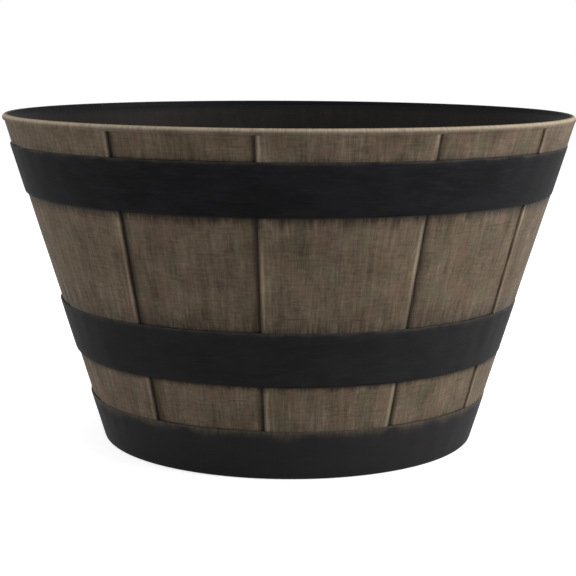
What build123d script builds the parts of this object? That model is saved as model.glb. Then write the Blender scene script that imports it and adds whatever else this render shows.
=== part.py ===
from build123d import *
import math
import os

# Millimetres. The origin is the middle of the base, +Z is up and the front of the planter faces -Y.

# Overall form: a straight cone, measured on the outer face of the hoops.
# The rim radius is that of the lip's side, where its top starts to turn over.
overall_height = 300.0
rim_radius = 260.35
base_radius = 171.7

# Lip round the mouth
lip_height = 8.0
lip_bevel_height = 1.5
lip_inset = 0.7
lip_thickness = 5.0
lip_outer_round = 3.2
lip_inner_round = 1.2
lip_inner_height = 5.0

# Wall, in steps counted inwards from the outer face of the hoops
hoop_proud = 0.9
board_step = 1.2
seat_depth = 1.3
seat_wall = 3.6

# Board relief: where each joint between boards crosses two heights, in degrees from the front.
# The board after an even joint stands proud, and the one after an odd joint is recessed.
joint_top_height = 274.0
joint_low_height = 67.0
board_joints = [
    (-66.0, -66.0),
    (-33.4, -36.2),
    (-5.8, -6.0),
    (27.2, 27.6),
    (54.5, 57.4),
    (88.5, 87.5),
    (115.5, 117.0),
    (149.0, 148.0),
    (176.0, 177.5),
    (209.0, 208.0),
    (236.0, 237.5),
    (267.5, 266.5),
]
board_edge_round = 0.8
board_root = 1.6
joint_groove_width = 2.4
joint_groove_depth = 0.9

# Hoops
upper_hoop_drop = 26.0
upper_hoop_width = 44.0
middle_hoop_height = 85.5
middle_hoop_width = 47.5
base_hoop_width = 45.0
hoop_edge_round = 1.2
base_corner_round = 3.2
hoop_fit = 0.1

# Floor and the foot ring that carries it
floor_height = 10.0
floor_thickness = 4.0
floor_corner_round = 6.0
foot_width = 8.0
foot_round = 1.5

# Drain holes, one in the middle and four round it, each with a collar under the floor
drain_hole_radius = 8.0
drain_circle_radius = 100.0
drain_collar_wall = 3.0
drain_collar_depth = 4.0

# Plugs of the drain holes
plug_clearance = 0.3
plug_flange_overlap = 5.0
plug_flange_thickness = 2.5
plug_flange_round = 1.0
plug_tip_chamfer = 1.0
plug_grip_width = 13.0
plug_grip_thickness = 4.0
plug_grip_height = 7.0
plug_grip_round = 1.5

# A rounding takes at most this share of the wall that it lies on
round_share = 0.9

# Depths below the hoops' outer face
board_inset = hoop_proud
recess_inset = board_inset + board_step
seat_inset = recess_inset + seat_depth
inner_inset = seat_inset + seat_wall

# Heights and radii that follow from the sizes above
lip_low = overall_height - lip_height
lip_turn_height = overall_height - lip_outer_round
lip_inner_low = overall_height - lip_inner_height
lip_inner_radius = rim_radius - lip_thickness
cone_slope = (rim_radius + lip_inset - base_radius) / lip_turn_height
floor_top = floor_height + floor_thickness
drain_diagonal = drain_circle_radius * math.sqrt(0.5)

# Each hoop's name, with the lowest and highest edge of its seat
upper_hoop_high = overall_height - upper_hoop_drop
hoop_seats = {
    "upper_hoop": (upper_hoop_high - upper_hoop_width, upper_hoop_high),
    "middle_hoop": (middle_hoop_height, middle_hoop_height + middle_hoop_width),
    "base_hoop": (0, base_hoop_width),
}

# Each plug's name, with the place of its hole
drain_places = {
    "drain_plug_centre": (0, 0),
    "drain_plug_front_right": (drain_diagonal, -drain_diagonal),
    "drain_plug_back_right": (drain_diagonal, drain_diagonal),
    "drain_plug_back_left": (-drain_diagonal, drain_diagonal),
    "drain_plug_front_left": (-drain_diagonal, -drain_diagonal),
}


def cone_radius(height, inset):
    """Radius of the cone that lies inset millimetres inside the hoops' outer face."""
    return base_radius + cone_slope * height - inset


def cone_point(height, inset, azimuth):
    """Point on that cone, at an azimuth in degrees from the front towards +X."""
    radius = cone_radius(height, inset)
    turn = math.radians(azimuth)
    return Vector(radius * math.sin(turn), -radius * math.cos(turn), height)


def ring_section(low, high, outer_inset, ring_inset):
    """Corners of a conical ring's section: inner and outer at the low end, then outer and inner."""
    return [
        (cone_radius(low, ring_inset), low),
        (cone_radius(low, outer_inset), low),
        (cone_radius(high, outer_inset), high),
        (cone_radius(high, ring_inset), high),
    ]


def joint_frame(joint):
    """Middle point of a joint between boards, its direction up the wall and the way out."""
    top = cone_point(joint_top_height, recess_inset, joint[0])
    low = cone_point(joint_low_height, recess_inset, joint[1])
    middle = (top + low) / 2
    along = (top - low).normalized()
    outward = Vector(middle.X, middle.Y, 0)
    outward = (outward - along * outward.dot(along)).normalized()
    return middle, along, outward


def joint_plane(joint):
    """Plane through a joint that holds the way out, facing towards growing azimuth."""
    middle, along, outward = joint_frame(joint)
    return Plane(origin=middle, x_dir=along, z_dir=along.cross(outward))


def distance_from_axis(shape):
    """How far the middle of an edge lies from the planter's axis."""
    centre = shape.center()
    return math.hypot(centre.X, centre.Y)


def make_proud_board(left, right):
    """One proud board: a sector of a conical ring between two joints, with rounded long edges."""
    with BuildPart() as board:
        with BuildSketch(Plane.XZ):
            with BuildLine():
                Polyline(*ring_section(0, lip_low, board_inset, recess_inset + board_root), close=True)
            make_face()
        revolve(axis=Axis.Z)
        split(bisect_by=joint_plane(left), keep=Keep.TOP)
        split(bisect_by=joint_plane(right), keep=Keep.BOTTOM)
        upright = board.edges().filter_by(lambda edge: edge.bounding_box().size.Z > lip_low / 2)
        outer_edges = upright.sort_by(distance_from_axis)[-2:]
        fillet(outer_edges, radius=min(board_edge_round, board_step * round_share))
    return board.part


def make_joint_groove(joint):
    """A V-shaped bar along a joint, which cuts the groove at the foot of a proud board."""
    middle, along, outward = joint_frame(joint)
    with BuildPart() as groove:
        with BuildSketch(Plane(origin=middle, x_dir=outward, z_dir=along)):
            with BuildLine():
                Polyline(
                    (-joint_groove_depth, 0),
                    (joint_groove_depth, -2 * joint_groove_width),
                    (joint_groove_depth, 2 * joint_groove_width),
                    close=True,
                )
            make_face()
        extrude(amount=overall_height, both=True)
    return groove.part


def make_seat_ring(low, high):
    """The ring that a hoop's seat takes out of the wall and its boards."""
    with BuildPart() as ring:
        with BuildSketch(Plane.XZ):
            with BuildLine():
                Polyline(*ring_section(low, high, -hoop_proud, seat_inset), close=True)
            make_face()
        revolve(axis=Axis.Z)
    return ring.part


def make_planter_shell():
    """The moulded tub: wall with board relief and lip, floor with drain holes, and foot ring."""
    grooves = [make_joint_groove(joint) for joint in board_joints]
    board_ends = zip(board_joints[0::2], board_joints[1::2])
    boards = [make_proud_board(left, right) for left, right in board_ends]
    seats = [make_seat_ring(low, high) for low, high in hoop_seats.values()]
    foot_inner_radius = cone_radius(0, seat_inset) - foot_width
    collar_underside = Plane.XY.offset(floor_height - drain_collar_depth)

    with BuildPart() as shell:
        with BuildSketch(Plane.XZ):
            with BuildLine():
                FilletPolyline(
                    (0, floor_height),
                    (foot_inner_radius, floor_height),
                    (foot_inner_radius, 0),
                    (cone_radius(0, recess_inset), 0),
                    (cone_radius(lip_low, recess_inset), lip_low),
                    (cone_radius(lip_low + lip_bevel_height, lip_inset), lip_low + lip_bevel_height),
                    (cone_radius(overall_height, lip_inset), overall_height),
                    (lip_inner_radius, overall_height),
                    (lip_inner_radius, lip_inner_low),
                    (cone_radius(lip_inner_low, inner_inset), lip_inner_low),
                    (cone_radius(floor_top, inner_inset), floor_top),
                    (0, floor_top),
                    radius=[0, foot_round, 0, 0, 0, lip_outer_round, lip_inner_round, 0, 0, floor_corner_round],
                )
                Line((0, floor_top), (0, floor_height))
            make_face()
        revolve(axis=Axis.Z)
        for groove in grooves:
            add(groove, mode=Mode.SUBTRACT)
        for board in boards:
            add(board)
        for seat in seats:
            add(seat, mode=Mode.SUBTRACT)

        with BuildSketch(collar_underside):
            with Locations(*drain_places.values()):
                Circle(drain_hole_radius + drain_collar_wall)
        extrude(amount=drain_collar_depth)
        with Locations(*[(x, y, floor_top) for x, y in drain_places.values()]):
            Hole(drain_hole_radius)
    return shell.part


def make_hoop(low, high):
    """One hoop: a conical ring that fills its seat and stands proud of the boards on both sides."""
    stands_on_ground = low == 0
    low_edge = low if stands_on_ground else low + hoop_fit
    hoop_wall = seat_inset - hoop_fit
    low_round = base_corner_round if stands_on_ground else hoop_edge_round
    section = ring_section(low_edge, high - hoop_fit, 0, hoop_wall)
    rounds = [0, min(low_round, hoop_wall), min(hoop_edge_round, hoop_wall / 2), 0]
    with BuildPart() as hoop:
        with BuildSketch(Plane.XZ):
            with BuildLine():
                FilletPolyline(*section, radius=rounds, close=True)
            make_face()
        revolve(axis=Axis.Z)
    return hoop.part


def make_drain_plug(x, y):
    """A push-in plug: a stem through the floor and collar, a flange on the floor and a finger grip."""
    stem_radius = drain_hole_radius - plug_clearance
    flange_radius = drain_hole_radius + plug_flange_overlap
    grip_round = min(plug_grip_round, plug_grip_thickness / 2 * round_share)
    with BuildPart() as plug:
        with BuildSketch(Plane(origin=(x, y, floor_top))):
            Circle(stem_radius)
        extrude(amount=-(floor_thickness + drain_collar_depth))
        tip = plug.faces().sort_by(Axis.Z)[0]
        chamfer(tip.edges(), length=plug_tip_chamfer)

        with BuildSketch(Plane(origin=(x, y, floor_top))):
            Circle(flange_radius)
        extrude(amount=plug_flange_thickness)
        flange_face = plug.faces().sort_by(Axis.Z)[-1]
        fillet(flange_face.edges(), radius=min(plug_flange_round, plug_flange_thickness * round_share))

        with BuildSketch(Plane(origin=(x, y, floor_top + plug_flange_thickness))):
            Rectangle(plug_grip_width, plug_grip_thickness)
        extrude(amount=plug_grip_height)
        grip_face = plug.faces().sort_by(Axis.Z)[-1]
        fillet(grip_face.edges(), radius=grip_round)
    return plug.part


pieces = {"planter_shell": make_planter_shell()}
for hoop_name, (seat_low, seat_high) in hoop_seats.items():
    pieces[hoop_name] = make_hoop(seat_low, seat_high)
for plug_name, (hole_x, hole_y) in drain_places.items():
    pieces[plug_name] = make_drain_plug(hole_x, hole_y)

os.makedirs("parts", exist_ok=True)
for name, piece in pieces.items():
    piece.label = name
    export_step(piece, f"parts/{name}.step")
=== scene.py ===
import math

import bpy
import numpy as np
from mathutils import Matrix, Vector
from mathutils.geometry import delaunay_2d_cdt


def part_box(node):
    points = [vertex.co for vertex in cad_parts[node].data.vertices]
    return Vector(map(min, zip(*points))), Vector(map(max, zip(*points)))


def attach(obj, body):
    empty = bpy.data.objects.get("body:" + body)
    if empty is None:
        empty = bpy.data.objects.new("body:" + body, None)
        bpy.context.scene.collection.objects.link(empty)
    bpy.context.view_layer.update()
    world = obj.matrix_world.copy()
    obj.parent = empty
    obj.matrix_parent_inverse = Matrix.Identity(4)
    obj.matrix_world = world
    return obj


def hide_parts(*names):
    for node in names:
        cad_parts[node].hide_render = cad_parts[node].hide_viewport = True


bl_info = {
    "name": "Whiskey barrel planter",
    "version": (1, 0, 0),
    "blender": (4, 5, 0),
    "location": "3D View > Sidebar > Planter",
    "description": "Dresses the packed planter: stained boards, black hoops, plugs and studio",
    "category": "Object",
}

# Metres. The planter stands at the origin, +Z is up and its front faces -Y.
# Azimuths are counted from the front towards +X.

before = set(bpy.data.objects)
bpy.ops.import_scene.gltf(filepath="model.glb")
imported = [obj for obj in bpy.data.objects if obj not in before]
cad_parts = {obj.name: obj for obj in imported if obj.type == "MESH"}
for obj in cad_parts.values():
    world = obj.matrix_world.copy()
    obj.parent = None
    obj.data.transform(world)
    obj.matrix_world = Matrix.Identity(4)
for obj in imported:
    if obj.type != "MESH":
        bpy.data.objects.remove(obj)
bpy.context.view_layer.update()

mouth_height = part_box("planter_shell")[1].z
hoop_names = ["base_hoop", "middle_hoop", "upper_hoop"]
plug_names = sorted(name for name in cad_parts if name.startswith("drain_plug"))

# Lowest and highest edge of each hoop's seat, from the base up
seat_room = 0.0001
hoop_seats = [
    (max(0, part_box(name)[0].z - seat_room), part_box(name)[1].z + seat_room)
    for name in hoop_names
]

# Where each joint between boards crosses two gauge heights, in degrees at the top and low gauge.
# The board after an even joint stands proud, and the one after an odd joint is recessed.
joint_top_height = 0.274
joint_low_height = 0.067
board_joints = np.array([
    (-66.0, -66.0),
    (-33.9, -36.7),
    (-5.8, -6.0),
    (27.2, 27.6),
    (55.2, 58.2),
    (88.5, 87.5),
    (115.5, 117.0),
    (149.0, 148.0),
    (176.0, 177.5),
    (209.0, 208.0),
    (236.0, 237.5),
    (267.5, 266.5),
])

# Darkening beside each joint, on its recessed board: partly dark stain in the corner and partly
# painted shade of the proud board's step. Its width at the top and low gauge in metres, and its
# darkness
crevice_stain_and_shade_sizes = np.array([
    (0.0050, 0.0050, 0.50),
    (0.0046, 0.0080, 0.94),
    (0.0066, 0.0038, 0.70),
    (0.0042, 0.0040, 0.72),
    (0.0060, 0.0055, 0.40),
    (0.0050, 0.0060, 0.80),
    (0.0040, 0.0050, 0.70),
    (0.0055, 0.0078, 0.92),
    (0.0040, 0.0050, 0.78),
    (0.0048, 0.0045, 0.60),
    (0.0050, 0.0070, 0.88),
    (0.0042, 0.0050, 0.70),
])

# Small sizes of the tub. Its wall's grid ends at the seam, where the flat floor starts.
seam_radius = 0.150
board_row_height = 0.00165
board_gap = 0.00025
foot_edge_round = 0.0015
bevel_low = 0.0005
bevel_high = 0.0012
bevel_depth = 0.0007
lip_inner_round = 0.0012
ledge_drop = 0.005
floor_turn_height = 0.0055
floor_turn_width = 0.0058
bore_chamfer = 0.0004

# Grain is laid out at the planter's middle radius, and each board's is shifted by this much
map_radius = 0.215
map_shift = (0.37, 0.53)

# Numbers of columns round a drain hole, a hoop and the studio's floor
bore_columns = 48
hoop_columns = 720
studio_columns = 96

# Studio: the photograph's width in pixels, what the lamps point at, and the floor's level. The
# floor's glow starts from nothing at the first radius and is full at the second.
image_width = 576
lit_point = (0, 0, 0.17)
studio_floor_level = -0.0002
floor_glow = 0.68
floor_glow_radii = (0.12, 0.165)


def length(name, description, default):
    """A size in metres that a user can change."""
    return bpy.props.FloatProperty(
        name=name, description=description, default=default, unit="LENGTH", precision=5)


def colour(name, description, default):
    """A colour that a user can change."""
    return bpy.props.FloatVectorProperty(
        name=name, description=description, default=default, subtype="COLOR", min=0, max=1)


def power(name, description, default):
    """The power of a lamp, which a user can change."""
    return bpy.props.FloatProperty(
        name=name, description=description, default=default, min=0, unit="POWER")


def turn_angle(name, description, degrees):
    """An angle that a user can change."""
    return bpy.props.FloatProperty(
        name=name, description=description, default=math.radians(degrees), subtype="ANGLE")


class TubSettings(bpy.types.PropertyGroup):
    """Sizes of the moulded tub"""

    rim_radius: length("Rim radius", "Radius of the lip's side", 0.26035)
    base_radius: length("Base radius", "Radius of the base hoop on the ground", 0.1717)
    lip_height: length("Lip height", "Height of the rounded lip over the boards", 0.0056)
    lip_thickness: length("Lip thickness", "Thickness of the lip at its top", 0.005)
    lip_round: length("Lip round", "Outer rounding of the lip's top", 0.0032)
    lip_inset: length("Lip inset", "How far the lip's side lies inside the hoops", 0.0007)
    recess_inset: length(
        "Recess inset", "How far the recessed boards lie inside the hoops", 0.0021)
    board_step: length("Board step", "How far the proud boards stand out", 0.0012)
    edge_round: length("Edge round", "Width of a proud board's rounded edge", 0.0020)
    shoulder_width: length(
        "Shoulder width", "Width of the worn strip along a proud board's edge", 0.0085)
    shoulder_drop: length("Shoulder drop", "How far that strip falls towards the edge", 0.00025)
    groove_width: length("Groove width", "Width of the groove beside a proud board", 0.0026)
    groove_depth: length("Groove depth", "Depth of the groove beside a proud board", 0.0010)
    waviness: length("Waviness", "Depth of the boards' soft unevenness", 0.00022)
    seat_inset: length("Seat inset", "How far the hoops' seats lie inside the hoops", 0.0034)
    inner_inset: length("Inner inset", "How far the inner wall lies inside the hoops", 0.0070)
    floor_underside: length("Floor underside", "Height of the floor over the ground", 0.010)
    floor_thickness: length("Floor thickness", "Thickness of the floor", 0.004)
    foot_width: length("Foot width", "Width of the foot ring", 0.008)
    drain_radius: length("Drain radius", "Radius of the drain holes", 0.008)
    collar_wall: length("Collar wall", "Wall of the collar under each drain hole", 0.003)
    collar_depth: length("Collar depth", "Depth of that collar", 0.004)


class HoopSettings(bpy.types.PropertyGroup):
    """Sizes of the three black hoops"""

    thickness: length("Thickness", "Thickness of a hoop", 0.0033)
    edge_width: length("Edge width", "Width of a hoop's soft edge", 0.0030)
    edge_drop: length("Edge drop", "How far the soft edge falls back", 0.0011)
    foot_round: length("Foot round", "Rounding of the base hoop's bottom corner", 0.0032)
    unevenness: length("Unevenness", "Depth of a hoop's soft unevenness", 0.00012)


class FinishSettings(bpy.types.PropertyGroup):
    """Colours of the stain, the black resin and the plugs"""

    stain_dark: colour("Dark grain", "Stain in the hollows of the grain", (0.026, 0.020, 0.014))
    stain_middle: colour("Stain", "Main colour of the stain", (0.091, 0.068, 0.046))
    stain_pale: colour(
        "Pale grain", "Stain brushed over the high spots", (0.190, 0.150, 0.108))
    stain_red: colour("Reddish patches", "Warm patches of the stain", (0.112, 0.071, 0.053))
    stain_olive: colour("Olive patches", "Greenish patches of the stain", (0.076, 0.073, 0.046))
    # Colour of the corners beside the proud boards: partly dark stain, partly painted shade of the
    # step
    crevice_stain_and_shade: colour(
        "Crevices", "Dark stain in the corners beside the proud boards", (0.017, 0.012, 0.008))
    # This cream also paints the pale lines on the proud boards' edges: rubbed wear and painted
    # highlight
    worn: colour(
        "Worn edges", "Cream of the lip and of rubbed board edges", (0.400, 0.330, 0.245))
    black: colour("Black resin", "Colour of the bare resin", (0.0055, 0.0059, 0.0070))
    # This grey also paints the highlight along the hoops' upper edges and the sheen of their
    # streaks
    rubbed_and_highlight: colour(
        "Rubbed resin", "Greyer resin where an edge is rubbed", (0.030, 0.028, 0.028))
    dust: colour(
        "Stained resin edge", "Stain that runs over a hoop's upper edge", (0.075, 0.060, 0.045))
    rubber: colour("Plug rubber", "Colour of the drain plugs", (0.014, 0.014, 0.014))


class StageSettings(bpy.types.PropertyGroup):
    """Camera, lamps and floor"""

    floor_colour: colour("Floor", "Colour of the floor", (0.80, 0.80, 0.80))
    world_strength: bpy.props.FloatProperty(
        name="Room light", description="Strength of the light from all round", default=0.42,
        min=0)
    right_power: power("Right softbox", "Power of the softbox on the right", 44)
    left_power: power("Left softbox", "Power of the softbox on the left", 12)
    top_power: power("Top softbox", "Power of the softbox overhead", 10)
    camera_distance: length(
        "Camera distance", "How far the camera stands from the planter's axis", 1.42108)
    camera_height: length("Camera height", "Height of the camera", 0.36837)
    camera_tilt: turn_angle("Camera tilt", "How far the camera looks down", 9.3127)
    camera_roll: turn_angle("Camera roll", "Turn of the camera about its line of sight", 0.3038)
    lens: bpy.props.FloatProperty(
        name="Lens", description="Focal length in millimetres on a sensor 36 mm wide",
        default=95.93, unit="CAMERA")


# Shapes


def smooth_step(value, low, high):
    """0 below low and 1 above high, and 3t^2 - 2t^3 at the share t of the way between.

    Where low is over high it falls instead, from 1 below high to 0 above low.
    """
    way = np.clip((value - low) / (high - low), 0, 1)
    return way * way * (3 - 2 * way)


def ripple(around, up, seed, turns, waves, count=18):
    """Soft noise of about -1 to 1: a sum of sines of n * around + m * up + a random phase.

    Each n is a whole number between a quarter of turns and turns, so that the ripple closes
    round the planter, and each m lies between -waves and waves.
    """
    chance = np.random.default_rng(seed)
    total = np.zeros(np.broadcast(around, up).shape)
    for _ in range(count):
        turn = chance.integers(turns // 4 + 1, turns + 1)
        wave = chance.uniform(-waves, waves)
        total += np.sin(turn * around + wave * up + chance.uniform(0, 2 * math.pi))
    return total / math.sqrt(count)


def grid_quads(rows, columns, closed=False):
    """Quads between the points of a grid that is counted row by row.

    The last column joins the first, and where closed is true the last row joins the first too.
    """
    row = np.arange(rows if closed else rows - 1)[:, None]
    column = np.arange(columns)[None, :]
    above = (row + 1) % rows
    right = (column + 1) % columns
    corners = (row * columns + column, row * columns + right,
               above * columns + right, above * columns + column)
    return np.stack(corners, -1).reshape(-1, 4)


def ring_points(radius, azimuth, height):
    """Points at a radius and azimuth round the planter's axis: x = r sin a, y = -r cos a."""
    radius, azimuth, height = np.broadcast_arrays(radius, azimuth, height)
    points = np.stack((radius * np.sin(azimuth), -radius * np.cos(azimuth), height), -1)
    return points.reshape(-1, 3)


def arc(centre, radius, start, end, count):
    """Points (radius, height) of a circle between two angles, in degrees up from straight out."""
    angle = np.radians(np.linspace(start, end, count))
    return np.stack((centre[0] + radius * np.cos(angle), centre[1] + radius * np.sin(angle)), -1)


def make_mesh(name, points, quads, triangles=None):
    """Mesh from arrays of points, quads and triangles, shaded smooth except over sharp edges."""
    triangles = np.zeros((0, 3), int) if triangles is None else triangles
    corners = np.concatenate((quads.ravel(), triangles.ravel()))
    triangle_starts = quads.size + np.arange(len(triangles)) * 3
    starts = np.concatenate((np.arange(len(quads)) * 4, triangle_starts))
    mesh = bpy.data.meshes.new(name)
    mesh.vertices.add(len(points))
    mesh.vertices.foreach_set("co", np.ascontiguousarray(points, np.float32).ravel())
    mesh.loops.add(len(corners))
    mesh.loops.foreach_set("vertex_index", corners.astype(np.int32))
    mesh.polygons.add(len(starts))
    mesh.polygons.foreach_set("loop_start", starts.astype(np.int32))
    mesh.update(calc_edges=True)
    if mesh.validate():
        raise ValueError(f"the mesh of {name} had faulty faces")
    mesh.polygons.foreach_set("use_smooth", np.ones(len(starts), bool))
    mesh.set_sharp_from_angle(angle=math.radians(40))
    return mesh


def add_values(mesh, name, values):
    """One number for each point of the mesh, which the materials read by its name."""
    layer = mesh.attributes.new(name, "FLOAT", "POINT")
    layer.data.foreach_set("value", np.ascontiguousarray(values, np.float32).ravel())


def add_piece(name, mesh, material, body, node):
    """Object of a mesh, which rides on a body and stands for a CAD node."""
    mesh.materials.append(material)
    piece = bpy.data.objects.new(name, mesh)
    bpy.context.scene.collection.objects.link(piece)
    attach(piece, body)
    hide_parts(node)


def cone_slope(tub):
    """How much the radius of the hoops' outer face grows per metre of height.

    It grows evenly from the base radius on the ground to the rim radius plus the lip's inset,
    which it reaches where the lip's top starts to turn over.
    """
    return (tub.rim_radius + tub.lip_inset - tub.base_radius) / (mouth_height - tub.lip_round)


def cone_radius(tub, height, inset):
    """Radius of the cone that lies inset metres inside the hoops' outer face."""
    return tub.base_radius + cone_slope(tub) * height - inset


def tub_section(tub):
    """Section of the tub's wall: rows of radius, height, share of board relief, stain, rubbing.

    It starts under the floor and goes round the foot ring, up the outside with its hoop seats and
    boards, over the lip and down the inside to the floor.
    """
    lip_low = mouth_height - tub.lip_height
    floor_top = tub.floor_underside + tub.floor_thickness
    lean = math.degrees(math.atan(cone_slope(tub)))
    rows = []

    def add(points, relief=0, stain=0, rubbing_and_highlight=0):
        """Adds points (radius, height) and what each of them carries."""
        points = np.asarray(points, float)
        values = [np.broadcast_to(value, len(points)) for value in (relief, stain, rubbing_and_highlight)]
        rows.append(np.column_stack((points, *values)))

    def on_cone(height, inset):
        """Points (radius, height) on the cone that lies inset metres inside the hoops."""
        return np.column_stack((cone_radius(tub, height, inset), height))

    # Under the floor and round the foot
    foot_inner = cone_radius(tub, 0, tub.seat_inset) - tub.foot_width
    add([(seam_radius, tub.floor_underside), (foot_inner, tub.floor_underside)])
    add(arc((foot_inner + foot_edge_round, foot_edge_round), foot_edge_round, 180, 270, 4))

    # Up the outside: each hoop's seat, then the boards over it
    board_ends = [low for low, high in hoop_seats[1:]] + [lip_low]
    for (low, high), board_end in zip(hoop_seats, board_ends):
        add(on_cone(np.array([low, high]), tub.seat_inset))
        row_count = max(8, round((board_end - high) / board_row_height))
        height = np.linspace(high, board_end, row_count)
        add(on_cone(height, tub.recess_inset), relief=1, stain=1)

    # Lip: its bevel and side, then its outer and its inner rounding
    side_low = lip_low + bevel_high
    side = cone_radius(tub, side_low, tub.lip_inset)
    add([(side - bevel_depth, lip_low + bevel_low), (side, side_low)],
        relief=(0.5, 0), stain=1, rubbing_and_highlight=(0, 0.08))
    turn_low = mouth_height - tub.lip_round
    turn = cone_radius(tub, turn_low, tub.lip_inset)
    centre = (turn - tub.lip_round / math.cos(math.radians(lean)), turn_low)
    worn = (0.04, 0.1, 0.32, 0.64, 0.88, 0.95, 0.82, 0.6, 0.35)
    add(arc(centre, tub.lip_round, -lean, 90, 9), stain=np.linspace(1, 0.8, 9), rubbing_and_highlight=worn)
    inner_edge = tub.rim_radius - tub.lip_thickness
    centre = (inner_edge + lip_inner_round, mouth_height - lip_inner_round)
    add(arc(centre, lip_inner_round, 90, 180, 5), stain=(0.4, 0.25, 0.15, 0.05, 0))

    # Ledge inside the lip, with two points round each of its corners
    ledge = mouth_height - ledge_drop
    within = cone_radius(tub, ledge, tub.inner_inset)
    add([(inner_edge, ledge + 0.0005), (inner_edge - 0.0004, ledge),
         (within + 0.0004, ledge - 0.0001), (within - 0.0001, ledge - 0.0008)])

    # Down the inner wall and round onto the floor, along the curve
    # (1 - t)^2 start + 2t(1 - t) corner + t^2 end
    height = np.linspace(ledge - 0.006, floor_top + 0.0075, 14)
    add(on_cone(height, tub.inner_inset), stain=np.linspace(0.32, 0, 14) ** 2)
    start, corner = on_cone(
        np.array([floor_top + floor_turn_height, floor_top]), tub.inner_inset)
    end = corner - (floor_turn_width, 0)
    way = np.linspace(0, 1, 7)[:, None]
    add((1 - way) ** 2 * start + 2 * way * (1 - way) * corner + way ** 2 * end)
    add([(seam_radius, floor_top)])
    return np.concatenate(rows)


def board_columns():
    """Where the grid's columns cross one board: share of the way from joint to joint, plus metres.

    They lie close together beside the joints, and a quarter of a millimetre separates the last
    columns of two boards.
    """
    near = np.array([0.12, 0.4, 0.7, 1.0, 1.4, 1.9, 2.5, 3.2, 4.2, 5.6, 7.5, 10.0]) / 1000
    middle = np.linspace(0, 1, 26)[1:-1]
    share = np.concatenate((np.zeros(len(near)), middle, np.ones(len(near))))
    offset = np.concatenate((near, near[-1] * (1 - 2 * middle), -near[::-1]))
    return share, offset


def joint_azimuth(height):
    """Azimuth of each joint at each height, in radians, with the first joint again at the end.

    A joint runs straight through its azimuths at the two gauge heights.
    """
    top, low = np.radians(board_joints.T)
    way = (height[:, None] - joint_low_height) / (joint_top_height - joint_low_height)
    joints = low + (top - low) * way
    return np.concatenate((joints, joints[:, :1] + 2 * math.pi), 1)


def board_relief(tub, nearest, azimuth, height, proud):
    """How far a point of a board stands out from the recessed level.

    A proud board is a plateau whose edge rises as 1 - (1 - d / w)^2.2 at the distance d from the
    nearest joint, over the width w of its round, with a shallow shoulder inside it. A recessed
    board falls into a groove beside each joint. Both carry a soft ripple.
    """
    worn = 1 + 0.45 * ripple(azimuth, height, seed=11, turns=160, waves=260)
    round_width = tub.edge_round * np.clip(worn, 0.5, 2.0)
    plateau = tub.board_step * (1 - (1 - np.clip(nearest / round_width, 0, 1)) ** 2.2)
    shoulder = tub.shoulder_drop * (1 - smooth_step(nearest, 0.0005, tub.shoulder_width))
    groove_width = tub.groove_width * np.clip(worn, 0.7, 1.5)
    groove = tub.groove_depth * (1 - smooth_step(nearest, 0, groove_width))
    broad = ripple(azimuth, height, seed=21, turns=40, waves=60)
    close = ripple(azimuth, height, seed=22, turns=110, waves=120)
    waves = tub.waviness * (0.6 * broad + 0.4 * close)
    return np.where(proud, plateau - shoulder, -groove) + waves * smooth_step(nearest, 0.001, 0.006)


def stain_and_hoop_shade(azimuth, height):
    """How much stain lies on a board, from 0 to 1, with painted shade beside the hoops.

    It rises from a least share at each hoop's edge as the 0.8th power of the distance, over a
    reach of its own. The fall towards a hoop is partly the stain thinning out and partly painted
    shade of the hoop, most of all under its lower edge. The hoops' edges are counted from the
    ground up.
    """
    edges = np.ravel(hoop_seats)
    reach = np.array([0.001, 0.008, 0.005, 0.019, 0.009, 0.006])
    least = np.array([0, 0.80, 0, 0.50, 0, 0.75])
    uneven = 1 + 0.3 * ripple(azimuth, 0.0, seed=31, turns=90, waves=1)
    distance = np.abs(height[..., None] - edges)
    share = np.clip(distance / (reach * uneven[..., None]), 0, 1)
    return (least + (1 - least) * share ** 0.8).min(-1)


def crevice_shade(from_left, from_right, azimuth, height, proud):
    """How dark the corner beside a proud board is, from 0 to 1: partly dark stain in the corner and
    partly painted shade of the proud board's step.

    On a recessed board it falls off from each joint as 1 - (d / w)^0.9, from 1.9 mm on and over
    the joint's own width w, which changes evenly between the two gauge heights and wanders up
    and down the joint. On a proud board it is painted shade over the outermost part of the rounded
    edge, as exp(-(d / 1.3 mm)^2). The rounded azimuth keeps the wander the same across a joint.
    """
    wander = ripple(np.round(azimuth, 1), height, seed=32, turns=7, waves=55, count=10)
    wander = 1 + 0.3 * np.clip(wander, -1.4, 1.6)
    way = np.clip((height - joint_low_height) / (joint_top_height - joint_low_height), 0, 1)
    shade, edge = 0, 0
    for distance, turn in ((from_left, 0), (from_right, -1)):
        top_width, low_width, depth = np.roll(crevice_stain_and_shade_sizes, turn, 0).T[:, None, :, None]
        width = (low_width + (top_width - low_width) * way) * wander
        share = np.clip((distance - 0.0019) / width, 0, 1)
        shade = np.maximum(shade, depth * (1 - share ** 0.9))
        edge = np.maximum(edge, 0.85 * depth * np.exp(-(distance / 0.0013) ** 2))
    return np.where(proud, edge, shade)


def edge_highlight_and_rubbing(nearest, azimuth, height, proud):
    """How pale a proud board's edge is, partly rubbed wear and partly painted highlight where the
    rounded edge catches the light: a line on the edge, and a weaker one inside it.

    Each line falls off as exp(-((d - its place) / its width)^2) with the distance d from the
    nearest joint.
    """
    strength = ripple(np.round(azimuth, 1), height, seed=41, turns=9, waves=90, count=12)
    strength = np.clip(0.26 + 0.2 * strength, 0.04, 0.6)
    edge = np.exp(-((nearest - 0.0029) / 0.0014) ** 2)
    shoulder = 0.3 * np.exp(-((nearest - 0.0080) / 0.0009) ** 2)
    return np.where(proud, strength * (edge + shoulder), 0)


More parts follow.
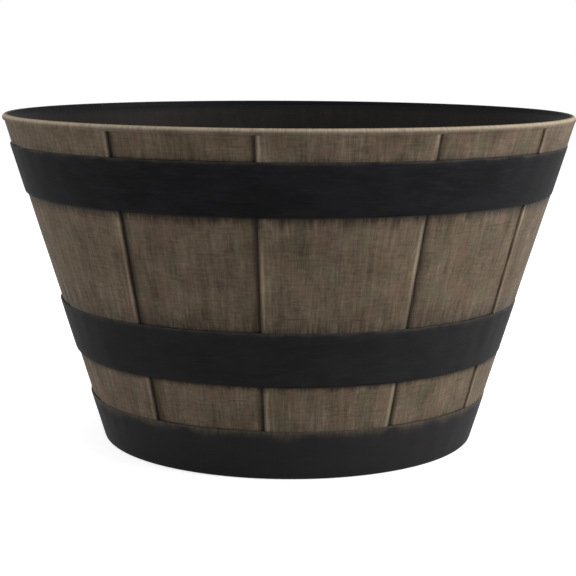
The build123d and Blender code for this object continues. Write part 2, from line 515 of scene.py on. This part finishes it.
def flat_face(points, seam, loops, upwards):
    """Triangles of a level face inside a round seam and outside the round holes in it.

    The seam is the numbers of its points, and each loop is the numbers of a hole's points, its
    centre and its radius. A triangle is left out where its middle lies within a hole's radius.
    """
    rings = [seam] + [ring for ring, centre, radius in loops]
    ids = np.concatenate(rings)
    ends = np.cumsum([len(ring) for ring in rings])
    parts = np.split(np.arange(len(ids)), ends[:-1])
    edges = np.concatenate([np.column_stack((part, np.roll(part, -1))) for part in parts])
    corners, _, faces, origin = delaunay_2d_cdt(
        points[ids, :2].tolist(), edges.tolist(), [], 1, 1e-7)[:4]
    if len(corners) != len(ids):
        raise ValueError("the floor's outline crosses itself")
    faces = ids[np.array(origin)[:, 0][np.array(faces)]]
    middle = points[faces, :2].mean(1)
    for ring, centre, radius in loops:
        keep = np.hypot(*(middle - centre).T) > radius
        faces, middle = faces[keep], middle[keep]
    return faces if upwards else faces[:, ::-1]


def make_floor(points, rows, columns, tub):
    """Both faces of the floor inside the wall's seam, and the drain holes' bores and collars.

    Each bore is a small section of radius and height, carried round its hole's axis. Returns all
    the points, the further quads and the triangles.
    """
    floor_top = tub.floor_underside + tub.floor_thickness
    collar_foot = tub.floor_underside - tub.collar_depth
    section = np.array([
        (tub.drain_radius + tub.collar_wall, tub.floor_underside),
        (tub.drain_radius + tub.collar_wall, collar_foot),
        (tub.drain_radius + bore_chamfer, collar_foot),
        (tub.drain_radius, collar_foot + bore_chamfer),
        (tub.drain_radius, floor_top - bore_chamfer),
        (tub.drain_radius + bore_chamfer, floor_top),
    ])
    angle = np.linspace(0, 2 * math.pi, bore_columns, endpoint=False)[None, :]
    ring = np.arange(bore_columns)
    bores, quads, low_loops, top_loops = [], [], [], []
    start = len(points)
    for name in plug_names:
        low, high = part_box(name)
        centre = ((low.x + high.x) / 2, (low.y + high.y) / 2)
        bores.append(ring_points(section[:, :1], angle, section[:, 1:]) + (*centre, 0))
        quads.append((start + grid_quads(len(section), bore_columns))[:, ::-1])
        low_loops.append((start + ring, centre, section[0, 0]))
        start += len(section) * bore_columns
        top_loops.append((start - bore_columns + ring, centre, section[-1, 0]))
    points = np.concatenate((points, *bores))
    seam = np.arange(columns)
    low_face = flat_face(points, seam, low_loops, upwards=False)
    top_face = flat_face(points, (rows - 1) * columns + seam, top_loops, upwards=True)
    return points, np.concatenate(quads), np.concatenate((low_face, top_face))


def map_boards(mesh, quads, azimuth, radius, height):
    """Map of the boards: metres round the planter at its middle radius, and along its section.

    Each board's place is shifted both ways, so that no two boards show the same grain. The narrow
    quads after a board's last column carry its grain on, and don't stretch it to the next board.
    """
    boards, board_width = azimuth.shape[1:]
    along = np.concatenate(([0], np.cumsum(np.hypot(np.diff(radius), np.diff(height)))))
    board = np.arange(boards)[None, :, None]
    around_shift, along_shift = map_shift
    u = azimuth * map_radius + around_shift * board
    v = np.broadcast_to(along[:, None, None] + along_shift * board, azimuth.shape)
    corner = np.stack((u.ravel()[quads], v.ravel()[quads]), -1)
    narrow = np.arange(len(quads)) % board_width == board_width - 1
    corner[narrow, 1:3] = corner[narrow][:, [0, 3]] + (board_gap, 0)
    place = np.zeros((len(mesh.loops), 2))
    place[:quads.size] = corner.reshape(-1, 2)
    layer = mesh.uv_layers.new(name="boards")
    layer.uv.foreach_set("vector", place.astype(np.float32).ravel())


def make_tub(tub, material):
    """The moulded tub: its section carried round the axis, with the boards' relief on its radius.

    Each board has its own columns, which lean with its joints. Two columns close together make
    the step between a proud and a recessed board.
    """
    section = tub_section(tub)
    radius, height = section.T[:2]
    level, tall, relief, stain, rubbing_and_highlight = section.T[:, :, None, None]
    joints = joint_azimuth(height)
    share, offset = board_columns()
    rows, boards = len(section), len(board_joints)
    columns = boards * len(share)

    left, right = joints[:, :-1, None], joints[:, 1:, None]
    azimuth = left * (1 - share) + right * share + offset / level
    tall = np.broadcast_to(tall, azimuth.shape)
    proud = np.broadcast_to((np.arange(boards) % 2 == 0)[None, :, None], azimuth.shape)
    from_left, from_right = (azimuth - left) * level, (right - azimuth) * level
    nearest = np.minimum(from_left, from_right)
    out = level + relief * board_relief(tub, nearest, azimuth, tall, proud)
    points = ring_points(out, azimuth, tall)

    # What the stain's material reads. The boards under the middle hoop are paler.
    on_board = relief > 0.5
    # Stain cover, with painted shade of the hoops where it falls off beside them
    stain_and_shade_cover = np.where(on_board, stain_and_hoop_shade(azimuth, tall), stain)
    # Pale lip paint, and pale lines on the proud boards' edges that are rubbed wear and painted
    # highlight
    pale = np.where(on_board, edge_highlight_and_rubbing(nearest, azimuth, tall, proud), rubbing_and_highlight)
    # Painted shade of the step, with dark stain, in the corners beside the proud boards
    shade = crevice_shade(from_left, from_right, azimuth, tall, proud)
    shade = np.where(on_board, shade, 0)
    board_tone = np.random.default_rng(5).uniform(-1, 1, boards)[None, :, None]
    tone = board_tone + 2.2 * smooth_step(tall, 0.110, 0.085)

    quads = grid_quads(rows, columns)
    every, bores, faces = make_floor(points, rows, columns, tub)
    mesh = make_mesh("planter_tub", every, np.concatenate((quads, bores)), faces)
    for name, values in (("stain", stain_and_shade_cover), ("rubbing_and_highlight", pale), ("crevice_stain_and_shade", shade), ("tone", tone)):
        padded = np.zeros(len(every))
        padded[:len(points)] = values.ravel()
        add_values(mesh, name, padded)
    map_boards(mesh, quads, azimuth, radius, height)
    add_piece("planter_tub", mesh, material, "planter", "planter_shell")


def hoop_section(hoop, low, high, grounded):
    """Section of a hoop: rows of height and depth inside its cone, up its face and down its back.

    Its face falls back as a quarter of an ellipse at both edges.
    """
    low_width = hoop.foot_round if grounded else hoop.edge_width
    low_drop = hoop.foot_round * 0.9 if grounded else hoop.edge_drop
    rise = np.sin(np.radians(np.linspace(0, 90, 8)))
    fall = 1 - np.cos(np.radians(np.linspace(90, 0, 8)))
    lower = np.column_stack((low + low_width * (1 - rise[::-1]), low_drop * fall))
    middle = np.linspace(low + low_width, high - hoop.edge_width, 12)[1:-1]
    middle = np.column_stack((middle, np.zeros(len(middle))))
    upper = np.column_stack((high - hoop.edge_width * (1 - rise), hoop.edge_drop * fall[::-1]))
    back = [(high, hoop.thickness), ((low + high) / 2, hoop.thickness)]
    return np.concatenate(([(low, hoop.thickness)], lower, middle, upper, back))


def make_hoop(tub, hoop, name, seed, material):
    """A hoop: a closed section carried round the axis.

    A ripple moves its outer face in and out, and another moves its edges up and down, by a
    fraction of a millimetre. The base hoop's bottom edge stays on the ground.
    """
    low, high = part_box(name)[0].z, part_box(name)[1].z
    middle, grounded = (low + high) / 2, low < 0.001
    section = hoop_section(hoop, low, high, grounded)
    height, depth = section.T[:, :, None]
    azimuth = np.linspace(0, 2 * math.pi, hoop_columns, endpoint=False)[None, :]
    outside = depth < hoop.thickness * 0.99
    on_face = depth < 0.0002
    near_edge = np.abs(height - middle) > (high - low) * 0.4
    free_edge = outside & near_edge & ((height > middle) | (not grounded))

    wave = ripple(azimuth, height, seed=seed, turns=60, waves=90)
    stray = 0.00015 * ripple(azimuth, 0.0, seed=seed + 1, turns=70, waves=1)
    tall = height + free_edge * stray
    out = cone_radius(tub, tall, depth) + on_face * hoop.unevenness * (wave - 1)
    quads = grid_quads(len(section), hoop_columns, closed=True)
    mesh = make_mesh(name + "_band", ring_points(out, azimuth, tall), quads)

    # Painted highlight along the upper edge, with rubbed wear there, stain that was brushed over
    # it, and greyer resin on the hoops nearer the ground
    from_top = high - height
    rubbed_and_highlight = np.clip(0.7 + 0.5 * ripple(azimuth, tall, seed=seed + 2, turns=120, waves=200), 0, 1)
    rubbed_and_highlight = outside * np.exp(-(from_top / 0.0022) ** 2) * rubbed_and_highlight
    reach, strength = (0.0040, 0.9) if grounded else (0.0016, 0.4)
    uneven = 1 + 0.4 * ripple(azimuth, 0.0, seed=seed + 3, turns=50, waves=1)
    smear = outside * strength * np.exp(-(from_top / (reach * np.clip(uneven, 0.3, 2))) ** 2)
    greyness = np.interp(middle, (0.02, 0.11, 0.25), (0.56, 0.34, 0.12))
    add_values(mesh, "rubbing_and_highlight", rubbed_and_highlight)
    add_values(mesh, "smear", smear)
    add_values(mesh, "greyer_near_ground", np.full(tall.shape, greyness))
    add_piece(name + "_band", mesh, material, "planter", name)


# Finishes


class Nodes:
    """The node tree of a material or world, with short ways to add its nodes."""

    def __init__(self, owner):
        owner.use_nodes = True
        self.tree = owner.node_tree
        self.tree.nodes.clear()

    def put(self, socket, value):
        """Links a socket to the value if that is a socket, and sets it otherwise."""
        if isinstance(value, bpy.types.NodeSocket):
            self.tree.links.new(value, socket)
        else:
            socket.default_value = value

    def add(self, kind, inputs=(), **settings):
        """A node with its settings and its inputs, which are given by name or number."""
        node = self.tree.nodes.new(kind)
        for name, value in settings.items():
            setattr(node, name, value)
        for name, value in dict(inputs).items():
            self.put(node.inputs[name], value)
        return node

    def number(self, operation, first, second, clamp=False):
        """Result of a Math node."""
        inputs = {0: first, 1: second}
        return self.add("ShaderNodeMath", inputs, operation=operation, use_clamp=clamp).outputs[0]

    def looked_at(self):
        """1 for rays from the camera, from gloss and through glass, and 0 for plain light."""
        path = self.add("ShaderNodeLightPath").outputs
        seen = self.number("MAXIMUM", path["Is Camera Ray"], path["Is Glossy Ray"])
        return self.number("MAXIMUM", seen, path["Is Transmission Ray"])


class Finish(Nodes):
    """A material with one shader."""

    def __init__(self, name):
        self.material = bpy.data.materials.new(name)
        super().__init__(self.material)
        self.shader = self.add("ShaderNodeBsdfPrincipled")
        surface = {"Surface": self.shader.outputs["BSDF"]}
        self.output = self.add("ShaderNodeOutputMaterial", surface)

    def dress(self, inputs):
        """Sets or links the shader's own inputs."""
        for name, value in inputs.items():
            self.put(self.shader.inputs[name], value)

    def attribute(self, name):
        """A number that the mesh holds for each point."""
        return self.add("ShaderNodeAttribute", attribute_name=name).outputs["Fac"]

    def on_boards(self):
        """Place on the boards, from the piece's own map."""
        return self.add("ShaderNodeUVMap", uv_map="boards").outputs["UV"]

    def in_space(self):
        """Place in the row frame."""
        return self.add("ShaderNodeTexCoord").outputs["Object"]

    def noise(self, place, scale, detail=2.0, roughness=0.5, distortion=0.0):
        """Noise of 0 to 1 whose features number scale per metre along each axis."""
        spread = self.add("ShaderNodeMapping", {"Vector": place, "Scale": scale}).outputs[0]
        inputs = {"Vector": spread, "Scale": 1.0, "Detail": detail, "Roughness": roughness,
                  "Distortion": distortion}
        return self.add("ShaderNodeTexNoise", inputs, noise_dimensions="3D").outputs["Fac"]

    def even_noise(self, place, scale, detail=2.0, roughness=0.5):
        """Noise whose features are as long along every axis."""
        return self.noise(place, (scale, scale, scale), detail, roughness)

    def span(self, value, low, high, to_low=0.0, to_high=1.0):
        """The value moved from one range to another, smoothly and without leaving it."""
        inputs = {"Value": value, "From Min": low, "From Max": high, "To Min": to_low,
                  "To Max": to_high}
        node = self.add("ShaderNodeMapRange", inputs, interpolation_type="SMOOTHSTEP")
        return node.outputs["Result"]

    def blend(self, share, first, second):
        """Colour between two colours."""
        first, second = [
            part if isinstance(part, bpy.types.NodeSocket) else (*part, 1)
            for part in (first, second)
        ]
        inputs = {0: share, 6: first, 7: second}
        return self.add("ShaderNodeMix", inputs, data_type="RGBA").outputs[2]

    def ramp(self, value, *stops):
        """Colour by the value, between stops of place and colour."""
        node = self.add("ShaderNodeValToRGB", {0: value})
        elements = node.color_ramp.elements
        while len(elements) < len(stops):
            elements.new(0.5)
        for element, (place, tint) in zip(elements, stops):
            element.position = place
            element.color = (*tint, 1)
        return node.outputs["Color"]

    def weigh(self, *parts):
        """Sum of (noise - 0.5) * weight over the parts."""
        total = 0.0
        for value, weight in parts:
            term = self.number("MULTIPLY", self.number("SUBTRACT", value, 0.5), weight)
            total = self.number("ADD", total, term)
        return total

    def fray(self, share, *parts):
        """What makes a share ragged between 0 and 1: share * (1 - share) * the weighed noises."""
        between = self.number("MULTIPLY", share, self.number("SUBTRACT", 1.0, share))
        return self.number("MULTIPLY", between, self.weigh(*parts))

    def bump(self, height, distance, strength):
        """Fine relief from a height of 0 to 1 that stands for distance metres."""
        inputs = {"Height": height, "Distance": distance, "Strength": strength}
        self.dress({"Normal": self.add("ShaderNodeBump", inputs).outputs[0]})


def shaded(tint, factor):
    """A colour times a factor."""
    return [factor * part for part in tint]


def stained_resin(colours):
    """Black resin with moulded grain and a grey-brown stain brushed over it, with painted shade
    beside the joints and the hoops and painted highlights on the proud boards' edges.
    """
    finish = Finish("stained_resin")
    place = finish.on_boards()
    fine = finish.noise(place, (600, 62, 1), detail=3, roughness=0.65, distortion=0.3)
    line = finish.noise(place, (270, 24, 1), roughness=0.55, distortion=0.3)
    cross = finish.noise(place, (78, 520, 1), roughness=0.6, distortion=0.3)
    broad = finish.noise(place, (80, 14, 1))
    patch = finish.noise(place, (42, 38, 1), detail=3)
    hue = finish.noise(place, (46, 40, 7))
    fleck = finish.noise(place, (380, 260, 3), roughness=0.6)
    scratch = finish.noise(place, (26, 520, 9), detail=1, roughness=0.4)
    streak = finish.noise(place, (330, 40, 5), roughness=0.6)

    # Stain: its grain and each board's own tone, then coloured patches, scratches and flecks
    tone = finish.weigh(
        (fine, 0.42), (line, 0.44), (cross, 0.40), (broad, 0.30), (patch, 0.5), (fleck, 0.26))
    board = finish.number("MULTIPLY", finish.attribute("tone"), 0.025)
    tone = finish.number("ADD", finish.number("ADD", tone, 0.5), board)
    stain = finish.ramp(
        tone, (0.12, colours.stain_dark), (0.5, colours.stain_middle), (0.92, colours.stain_pale))
    marks = (
        (finish.span(hue, 0.52, 0.68, to_high=0.40), colours.stain_red),
        (finish.span(hue, 0.48, 0.32, to_high=0.40), colours.stain_olive),
        (finish.span(scratch, 0.70, 0.78, to_high=0.5), colours.stain_dark),
        (finish.span(fleck, 0.68, 0.78, to_high=0.4), colours.stain_dark),
    )
    for share, tint in marks:
        stain = finish.blend(share, stain, tint)

    # Dark stain and painted shade in the corners beside the proud boards, and their pale edges,
    # partly rubbed wear and partly painted highlight
    crevice_stain_and_shade = finish.attribute("crevice_stain_and_shade")
    frayed = finish.fray(crevice_stain_and_shade, (streak, 2.0), (fine, 1.2))
    crevice_stain_and_shade = finish.number("ADD", crevice_stain_and_shade, frayed, clamp=True)
    stain = finish.blend(crevice_stain_and_shade, stain, colours.crevice_stain_and_shade)
    patchy = finish.span(fine, 0.25, 0.6, to_low=0.6)
    rubbed_and_highlight = finish.number("MULTIPLY", finish.attribute("rubbing_and_highlight"), patchy, clamp=True)
    stain = finish.blend(rubbed_and_highlight, stain, colours.worn)

    # How much of the black resin the stain covers, with painted shade where it falls off beside
    # the hoops
    stain_and_shade_share = finish.attribute("stain")
    frayed = finish.fray(stain_and_shade_share, (streak, 4.6), (fine, 2.2))
    frayed = finish.number("MULTIPLY", frayed, finish.span(stain_and_shade_share, 0.11, 0.3))
    stain_and_shade_cover = finish.number("ADD", stain_and_shade_share, frayed, clamp=True)

    rough = finish.even_noise(finish.in_space(), 260)
    uneven = finish.weigh((rough, 0.14), (fine, 0.12))
    finish.dress({
        "Base Color": finish.blend(stain_and_shade_cover, colours.black, stain),
        "Roughness": finish.number("ADD", finish.span(stain_and_shade_cover, 0, 1, 0.52, 0.68), uneven),
        "Specular IOR Level": 0.05,
    })
    grain = finish.weigh((fine, 0.8), (line, 0.5), (cross, 0.45), (rough, 0.12))
    grain = finish.number("ADD", grain, 0.5)
    grain = finish.number("MULTIPLY", grain, finish.span(stain_and_shade_share, 0, 0.3, to_low=0.15))
    finish.bump(grain, 0.0005, 0.6)
    return finish.material


def black_resin(colours):
    """Satin black resin, finely pitted, greyer where its edges are rubbed, with a painted highlight
    there and light streaks that are partly scratches and partly painted sheen.
    """
    finish = Finish("black_resin")
    place = finish.in_space()
    pits = finish.even_noise(place, 900, roughness=0.6)
    cloud = finish.noise(place, (22, 22, 60), detail=3, roughness=0.6)
    scratch_and_sheen = finish.noise(place, (60, 60, 420), roughness=0.6)
    streak = finish.noise(place, (330, 330, 30), roughness=0.6)

    dark, light = shaded(colours.black, 0.6), shaded(colours.black, 1.4)
    base = finish.blend(finish.span(cloud, 0.3, 0.7), dark, light)
    # Greyer towards the ground
    base = finish.blend(finish.attribute("greyer_near_ground"), base, colours.rubbed_and_highlight)
    # Light streaks round the hoop, partly scratches and partly painted sheen
    base = finish.blend(finish.span(scratch_and_sheen, 0.45, 0.80, to_high=0.2), base, colours.rubbed_and_highlight)
    # Painted highlight along the upper edge, which also stands for rubbed wear
    patchy = finish.span(scratch_and_sheen, 0.3, 0.7, to_low=0.2)
    rubbed_and_highlight = finish.number("MULTIPLY", finish.attribute("rubbing_and_highlight"), patchy)
    base = finish.blend(rubbed_and_highlight, base, colours.rubbed_and_highlight)
    patchy = finish.span(streak, 0.3, 0.7, to_low=0.4)
    smear = finish.number("MULTIPLY", finish.attribute("smear"), patchy, clamp=True)
    uneven = finish.weigh((cloud, 0.16), (scratch_and_sheen, 0.12), (pits, 0.08))
    finish.dress({
        "Base Color": finish.blend(smear, base, colours.dust),
        "Roughness": finish.number("ADD", uneven, 0.60),
        "Specular IOR Level": 0.02,
    })
    relief = finish.number("ADD", finish.weigh((pits, 0.5), (scratch_and_sheen, 0.5)), 0.5)
    finish.bump(relief, 0.00015, 0.5)
    return finish.material


def plug_rubber(colours):
    """Matt black rubber with a faint bloom."""
    finish = Finish("plug_rubber")
    place = finish.in_space()
    greyness = finish.even_noise(place, 180, detail=3, roughness=0.6)
    skin = finish.even_noise(place, 1600)
    share = finish.span(greyness, 0.35, 0.8)
    finish.dress({
        "Base Color": finish.blend(share, colours.rubber, shaded(colours.rubber, 2.2)),
        "Roughness": finish.span(greyness, 0.2, 0.8, 0.62, 0.82),
        "Specular IOR Level": 0.25,
    })
    finish.bump(skin, 0.00008, 0.5)
    return finish.material


def floor_finish(stage):
    """Pale matt floor.

    Rays from the camera, from gloss and through glass also see a white light in it, except under
    the planter, where the drain holes look onto a dark floor.
    """
    finish = Finish("studio_floor")
    place = finish.in_space()
    cloud = finish.even_noise(place, 3)
    pale = shaded(stage.floor_colour, 0.985)
    finish.dress({
        "Base Color": finish.blend(cloud, pale, stage.floor_colour),
        "Roughness": 0.9,
        "Specular IOR Level": 0.0,
    })
    from_middle = finish.add("ShaderNodeVectorMath", {0: place}, operation="LENGTH")
    beyond = finish.span(from_middle.outputs["Value"], *floor_glow_radii)
    seen = finish.number("MULTIPLY", finish.looked_at(), beyond)
    light = {"Color": (1, 1, 1, 1), "Strength": finish.number("MULTIPLY", seen, floor_glow)}
    glow = finish.add("ShaderNodeEmission", light)
    both = finish.add("ShaderNodeAddShader", {0: finish.shader.outputs[0], 1: glow.outputs[0]})
    finish.put(finish.output.inputs["Surface"], both.outputs[0])
    return finish.material


# Studio


def add_studio_floor(stage):
    """A flat disc: rings of points round the planter, and one point in the middle of them."""
    radii = np.array([0.002, 0.3, 1, 3, 12])[:, None]
    azimuth = np.linspace(0, 2 * math.pi, studio_columns, endpoint=False)[None, ::-1]
    rings = ring_points(radii, azimuth, studio_floor_level)
    points = np.concatenate((rings, [(0, 0, studio_floor_level)]))
    inner = np.arange(studio_columns)
    fan = np.column_stack((np.roll(inner, -1), inner, np.full(studio_columns, len(rings))))
    mesh = make_mesh("studio_floor", points, grid_quads(len(radii), studio_columns), fan)
    mesh.materials.append(floor_finish(stage))
    floor = bpy.data.objects.new("studio_floor", mesh)
    bpy.context.scene.collection.objects.link(floor)


def add_softbox(name, place, size, watts):
    """A rectangular lamp at a place, turned towards the planter."""
    lamp = bpy.data.lights.new(name, "AREA")
    lamp.shape = "RECTANGLE"
    lamp.size, lamp.size_y = size
    lamp.energy = watts
    box = bpy.data.objects.new(name, lamp)
    box.location = place
    sight = Vector(lit_point) - Vector(place)
    box.rotation_euler = sight.to_track_quat("-Z", "Y").to_euler()
    bpy.context.scene.collection.objects.link(box)


def add_room(stage):
    """Even light from all round, which shows as white to the camera, in gloss and through glass."""
    world = bpy.data.worlds.new("studio_room")
    room = Nodes(world)
    inputs = {"Value": room.looked_at(), "To Min": stage.world_strength, "To Max": 1.0}
    strength = room.add("ShaderNodeMapRange", inputs).outputs["Result"]
    background = room.add("ShaderNodeBackground", {"Strength": strength, "Color": (1, 1, 1, 1)})
    room.add("ShaderNodeOutputWorld", {"Surface": background.outputs[0]})
    bpy.context.scene.world = world


def add_camera(stage):
    """The photograph's camera: tilted down, rolled, and shifted by a fraction of a pixel."""
    lens = bpy.data.cameras.new("camera")
    lens.lens = stage.lens
    lens.sensor_width = 36
    lens.shift_x = -0.2 / image_width
    lens.shift_y = 0.5 / image_width
    lens.clip_start = 0.05
    camera = bpy.data.objects.new("camera", lens)
    place = Matrix.Translation((0, -stage.camera_distance, stage.camera_height))
    tilt = Matrix.Rotation(math.pi / 2 - stage.camera_tilt, 4, "X")
    roll = Matrix.Rotation(stage.camera_roll, 4, "Z")
    camera.matrix_world = place @ tilt @ roll
    bpy.context.scene.collection.objects.link(camera)
    bpy.context.scene.camera = camera


# Operators


class PLANTER_OT_tub(bpy.types.Operator):
    """Makes the moulded tub with its boards, lip, inside and floor"""

    bl_idname = "planter.tub"
    bl_label = "Make tub"

    def execute(self, context):
        make_tub(context.scene.planter_tub, stained_resin(context.scene.planter_finish))
        return {"FINISHED"}


class PLANTER_OT_hoops(bpy.types.Operator):
    """Makes the three black hoops"""

    bl_idname = "planter.hoops"
    bl_label = "Make hoops"

    def execute(self, context):
        tub, hoop = context.scene.planter_tub, context.scene.planter_hoop
        material = black_resin(context.scene.planter_finish)
        for place, name in enumerate(hoop_names):
            make_hoop(tub, hoop, name, 70 + 10 * place, material)
        return {"FINISHED"}


class PLANTER_OT_plugs(bpy.types.Operator):
    """Gives the drain plugs their rubber"""

    bl_idname = "planter.plugs"
    bl_label = "Finish plugs"

    def execute(self, context):
        material = plug_rubber(context.scene.planter_finish)
        for name in plug_names:
            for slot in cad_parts[name].material_slots:
                slot.material = material
        return {"FINISHED"}


class PLANTER_OT_studio(bpy.types.Operator):
    """Makes the floor, the lamps, the light of the room and the camera"""

    bl_idname = "planter.studio"
    bl_label = "Make studio"

    def execute(self, context):
        stage = context.scene.planter_stage
        add_studio_floor(stage)
        add_softbox("softbox_right", (1.75, -0.55, 0.75), (1.3, 1.5), stage.right_power)
        add_softbox("softbox_left", (-1.75, -0.35, 0.75), (1.0, 1.4), stage.left_power)
        add_softbox("softbox_top", (0, 0.1, 1.9), (1.6, 1.6), stage.top_power)
        add_room(stage)
        add_camera(stage)
        context.scene.view_settings.view_transform = "Standard"
        return {"FINISHED"}


operators = [PLANTER_OT_tub, PLANTER_OT_hoops, PLANTER_OT_plugs, PLANTER_OT_studio]
settings = {
    "planter_tub": TubSettings,
    "planter_hoop": HoopSettings,
    "planter_finish": FinishSettings,
    "planter_stage": StageSettings,
}


class PLANTER_PT_panel(bpy.types.Panel):
    """Settings and steps of the planter"""

    bl_label = "Whiskey barrel planter"
    bl_space_type = "VIEW_3D"
    bl_region_type = "UI"
    bl_category = "Planter"

    def draw(self, context):
        for operator in operators:
            self.layout.operator(operator.bl_idname)
        for holder, group in settings.items():
            box = self.layout.box()
            box.label(text=group.__doc__)
            for name in group.__annotations__:
                box.prop(getattr(context.scene, holder), name)


def register():
    for group in settings.values():
        bpy.utils.register_class(group)
    for holder, group in settings.items():
        setattr(bpy.types.Scene, holder, bpy.props.PointerProperty(type=group))
    for operator in operators:
        bpy.utils.register_class(operator)
    bpy.utils.register_class(PLANTER_PT_panel)


def unregister():
    bpy.utils.unregister_class(PLANTER_PT_panel)
    for operator in reversed(operators):
        bpy.utils.unregister_class(operator)
    for holder, group in settings.items():
        delattr(bpy.types.Scene, holder)
        bpy.utils.unregister_class(group)


def main():
    register()
    bpy.ops.planter.tub()
    bpy.ops.planter.hoops()
    bpy.ops.planter.plugs()
    bpy.ops.planter.studio()


if __name__ == "__main__":
    main()
